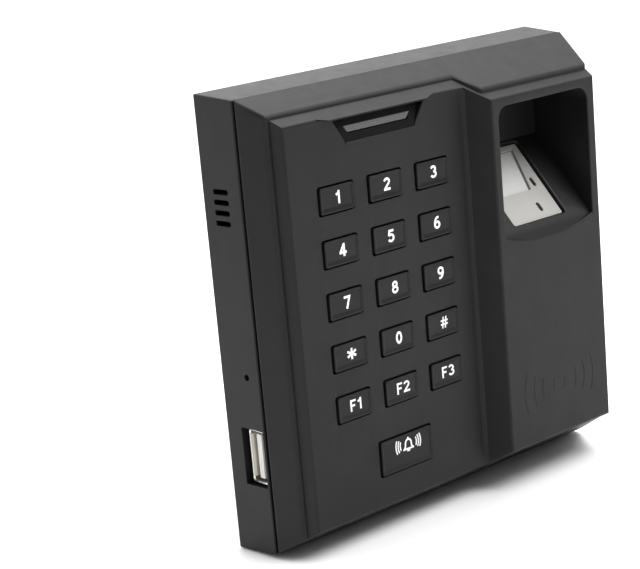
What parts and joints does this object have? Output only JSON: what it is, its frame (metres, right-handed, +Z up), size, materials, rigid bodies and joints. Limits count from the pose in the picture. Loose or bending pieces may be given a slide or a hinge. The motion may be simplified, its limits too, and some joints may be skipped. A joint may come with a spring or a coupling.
{
  "type": "fingerprint scanner terminal",
  "caption": "Wall-mounted access terminal: keypad with pressing keys, status light, finger well with a sloping optical sensor, USB socket and steel wall plate.",
  "frame": {"origin": "centre of the wall plate's rear face, where the terminal meets the wall", "axes": "+Y into the wall, +Z up, +X to the right as seen from the front"},
  "size_m": [0.112, 0.03, 0.112],
  "materials": {
    "casing_black": "fine-textured moulded ABS, satin",
    "key_black": "moulded key cap, slightly smoother than the casing, white printed legend",
    "white_plastic": "moulded white plastic, semi-gloss",
    "grey_rubber": "matt silicone",
    "board_green": "solder mask with pale printed tracks",
    "chip_black": "moulded epoxy and connector plastic",
    "relay_blue": "moulded relay case",
    "zinc_steel": "zinc-plated or nickel-plated steel",
    "copper_wire": "enamelled copper winding",
    "sensor_glass": "polished clear glass",
    "status_lens": "smoked translucent light guide",
    "led_green": "moulded LED lens",
    "led_red": "moulded LED lens"
  },
  "bodies": {
    "root": {"front_cover": "casing_black", "rear_shell": "casing_black", "wall_bracket": "zinc_steel", "bracket_lock_screw": "zinc_steel", "main_board": "board_green", "keypad_board": "board_green", "sensor_board": "board_green", "keypad_mat": "grey_rubber", "rfid_coil": "copper_wire", "processor_chip": "chip_black", "lock_relay": "relay_blue", "wiring_header_1": "white_plastic", "wiring_header_2": "white_plastic", "keypad_header": "chip_black", "keypad_socket": "chip_black", "battery_holder": "chip_black", "clock_battery": "zinc_steel", "speaker": "chip_black", "reset_switch": "chip_black", "usb_shell": "zinc_steel", "usb_tongue": "white_plastic", "status_lens": "status_lens", "status_led_green": "led_green", "status_led_red": "led_red", "sensor_housing": "white_plastic", "sensor_window": "sensor_glass", "sensor_camera": "chip_black", "cover_screw_1": "zinc_steel", "cover_screw_2": "zinc_steel", "cover_screw_3": "zinc_steel", "cover_screw_4": "zinc_steel", "board_screw_1": "zinc_steel", "board_screw_2": "zinc_steel", "board_screw_3": "zinc_steel", "board_screw_4": "zinc_steel", "keypad_screw_1": "zinc_steel", "keypad_screw_2": "zinc_steel", "keypad_screw_3": "zinc_steel", "keypad_screw_4": "zinc_steel", "sensor_screw_1": "zinc_steel", "sensor_screw_2": "zinc_steel"},
    "key_1": {"key_1": "key_black"},
    "key_2": {"key_2": "key_black"},
    "key_3": {"key_3": "key_black"},
    "key_4": {"key_4": "key_black"},
    "key_5": {"key_5": "key_black"},
    "key_6": {"key_6": "key_black"},
    "key_7": {"key_7": "key_black"},
    "key_8": {"key_8": "key_black"},
    "key_9": {"key_9": "key_black"},
    "key_star": {"key_star": "key_black"},
    "key_0": {"key_0": "key_black"},
    "key_hash": {"key_hash": "key_black"},
    "key_f1": {"key_f1": "key_black"},
    "key_f2": {"key_f2": "key_black"},
    "key_f3": {"key_f3": "key_black"},
    "key_bell": {"key_bell": "key_black"},
    "reset_plunger": {"reset_plunger": "white_plastic"}
  },
  "joints": [
    {"name": "key_1_press", "type": "slide", "parent": "root", "child": "key_1", "axis": [0, 1, 0], "range_m": [0, 0.0008], "stiffness_N_per_m": 400},
    {"name": "key_2_press", "type": "slide", "parent": "root", "child": "key_2", "axis": [0, 1, 0], "range_m": [0, 0.0008], "stiffness_N_per_m": 400},
    {"name": "key_3_press", "type": "slide", "parent": "root", "child": "key_3", "axis": [0, 1, 0], "range_m": [0, 0.0008], "stiffness_N_per_m": 400},
    {"name": "key_4_press", "type": "slide", "parent": "root", "child": "key_4", "axis": [0, 1, 0], "range_m": [0, 0.0008], "stiffness_N_per_m": 400},
    {"name": "key_5_press", "type": "slide", "parent": "root", "child": "key_5", "axis": [0, 1, 0], "range_m": [0, 0.0008], "stiffness_N_per_m": 400},
    {"name": "key_6_press", "type": "slide", "parent": "root", "child": "key_6", "axis": [0, 1, 0], "range_m": [0, 0.0008], "stiffness_N_per_m": 400},
    {"name": "key_7_press", "type": "slide", "parent": "root", "child": "key_7", "axis": [0, 1, 0], "range_m": [0, 0.0008], "stiffness_N_per_m": 400},
    {"name": "key_8_press", "type": "slide", "parent": "root", "child": "key_8", "axis": [0, 1, 0], "range_m": [0, 0.0008], "stiffness_N_per_m": 400},
    {"name": "key_9_press", "type": "slide", "parent": "root", "child": "key_9", "axis": [0, 1, 0], "range_m": [0, 0.0008], "stiffness_N_per_m": 400},
    {"name": "key_star_press", "type": "slide", "parent": "root", "child": "key_star", "axis": [0, 1, 0], "range_m": [0, 0.0008], "stiffness_N_per_m": 400},
    {"name": "key_0_press", "type": "slide", "parent": "root", "child": "key_0", "axis": [0, 1, 0], "range_m": [0, 0.0008], "stiffness_N_per_m": 400},
    {"name": "key_hash_press", "type": "slide", "parent": "root", "child": "key_hash", "axis": [0, 1, 0], "range_m": [0, 0.0008], "stiffness_N_per_m": 400},
    {"name": "key_f1_press", "type": "slide", "parent": "root", "child": "key_f1", "axis": [0, 1, 0], "range_m": [0, 0.0008], "stiffness_N_per_m": 400},
    {"name": "key_f2_press", "type": "slide", "parent": "root", "child": "key_f2", "axis": [0, 1, 0], "range_m": [0, 0.0008], "stiffness_N_per_m": 400},
    {"name": "key_f3_press", "type": "slide", "parent": "root", "child": "key_f3", "axis": [0, 1, 0], "range_m": [0, 0.0008], "stiffness_N_per_m": 400},
    {"name": "key_bell_press", "type": "slide", "parent": "root", "child": "key_bell", "axis": [0, 1, 0], "range_m": [0, 0.0008], "stiffness_N_per_m": 400},
    {"name": "reset_press", "type": "slide", "parent": "root", "child": "reset_plunger", "axis": [1, 0, 0], "range_m": [0, 0.0003], "stiffness_N_per_m": 1500}
  ]
}
